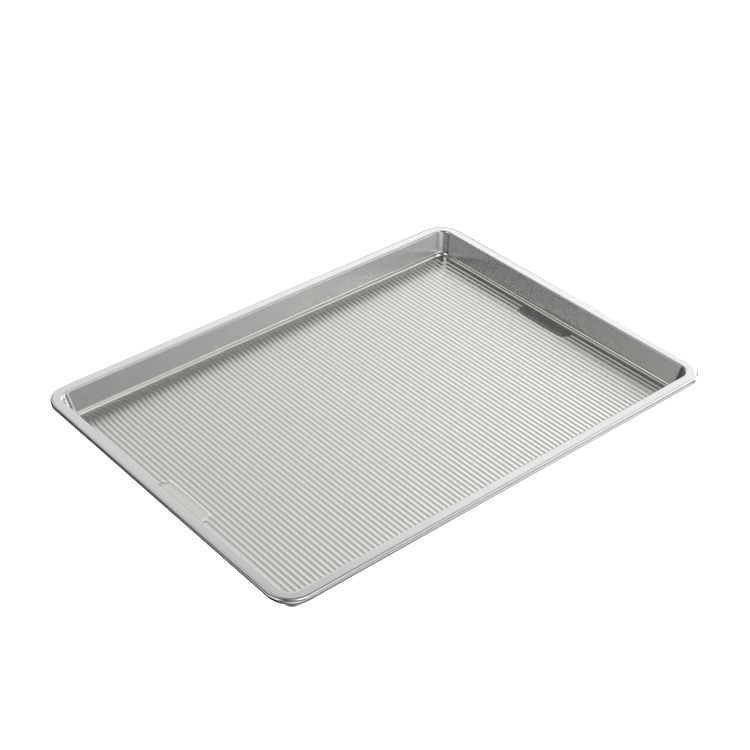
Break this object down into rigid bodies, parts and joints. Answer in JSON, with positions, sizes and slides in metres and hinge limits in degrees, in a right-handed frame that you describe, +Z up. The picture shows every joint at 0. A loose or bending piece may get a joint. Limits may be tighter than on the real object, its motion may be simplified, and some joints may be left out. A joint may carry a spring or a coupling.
{
  "type": "jelly roll pan",
  "caption": "Shallow rectangular sheet-metal baking pan with a fluted floor, sloped walls and a flat rim rolled around a wire.",
  "frame": {"origin": "centre of the pan's footprint, on the surface that it stands on", "axes": "+X along the long side, +Y along the short side and the flutes, +Z up out of the open top"},
  "size_m": [0.4572, 0.3302, 0.0232],
  "materials": {
    "coated_sheet": "satin, fine-grained clear coat on aluminised steel",
    "steel_wire": "bare drawn wire"
  },
  "bodies": {
    "root": {"pan_shell": "coated_sheet", "rim_wire": "steel_wire"}
  },
  "joints": []
}
